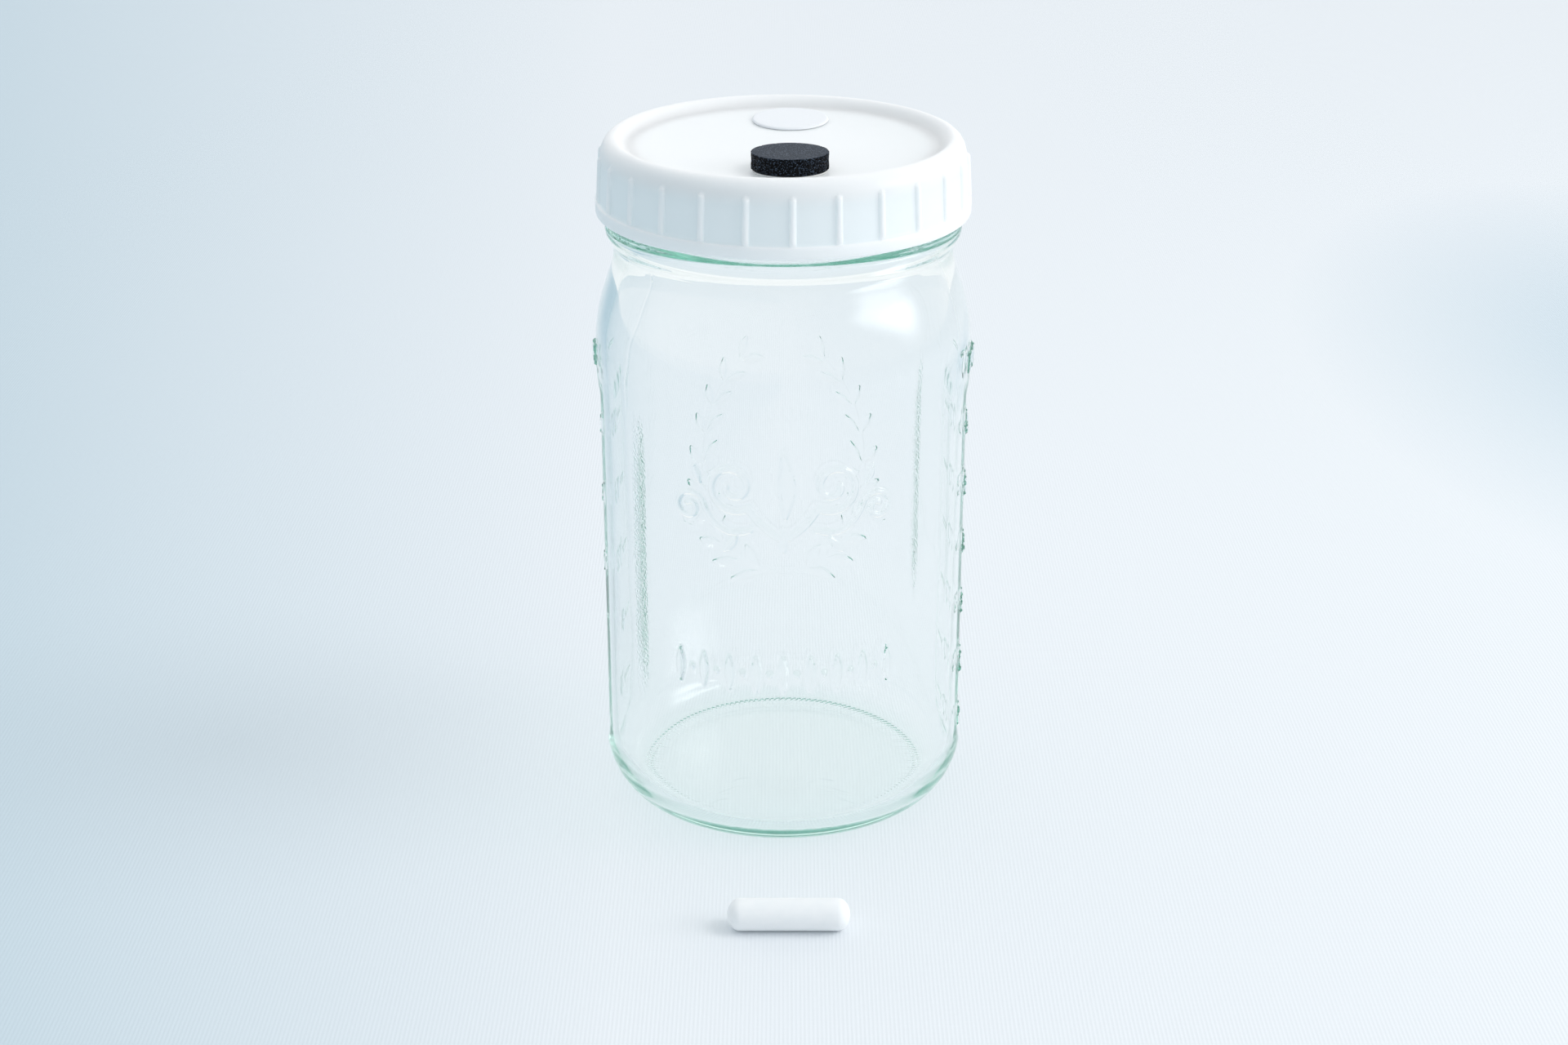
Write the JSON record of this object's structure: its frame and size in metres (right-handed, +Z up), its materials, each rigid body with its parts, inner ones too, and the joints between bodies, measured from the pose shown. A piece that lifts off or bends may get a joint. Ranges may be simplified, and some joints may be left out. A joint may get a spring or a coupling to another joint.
{
  "type": "culture jar",
  "caption": "Wide-mouth clear glass jar with a ribbed white screw lid that carries a black injection port and a white filter disc, and a loose white stir bar.",
  "frame": {"origin": "on the jar's upright axis, in the plane that the jar stands on, 0.8 mm under the flat panel of its base", "axes": "+Z up along the jar's axis, -Y towards the front, where the injection port and the stir bar are, +X to the right seen from the front"},
  "size_m": [0.096, 0.136, 0.1786],
  "materials": {
    "clear_glass": "clear soda-lime glass with a faint green tint",
    "lid_plastic": "white moulded polypropylene, satin",
    "silicone": "translucent white silicone",
    "tape": "thin clear double-sided tape",
    "port_foam": "black closed-cell foam rubber with a smooth skin and a porous cut side",
    "filter_membrane": "white matt membrane",
    "ptfe": "white PTFE, satin",
    "magnet": "dark sintered magnet"
  },
  "bodies": {
    "jar": {"glass_jar": "clear_glass"},
    "seal_ring": {"lid_seal": "silicone"},
    "screw_lid": {"lid": "lid_plastic", "port_adhesive": "tape", "injection_port": "port_foam", "filter_adhesive": "tape", "filter_disc": "filter_membrane"},
    "stir_bar": {"stir_bar_jacket": "ptfe", "stir_bar_plug": "ptfe", "stir_bar_magnet": "magnet"}
  },
  "joints": [
    {"name": "lid_lift", "type": "slide", "parent": "jar", "child": "seal_ring", "axis": [0, 0, 1], "range_m": [0, 0.08]},
    {"name": "lid_turn", "type": "hinge", "parent": "seal_ring", "child": "screw_lid", "pos_m": [0, 0, 0.1669], "axis": [0, 0, 1], "range_deg": [0, 450]},
    {"name": "stir_bar_spin", "type": "hinge", "parent": "jar", "child": "stir_bar", "pos_m": [0.0013, -0.084, 0.004], "axis": [0, 0, 1], "continuous": true}
  ]
}
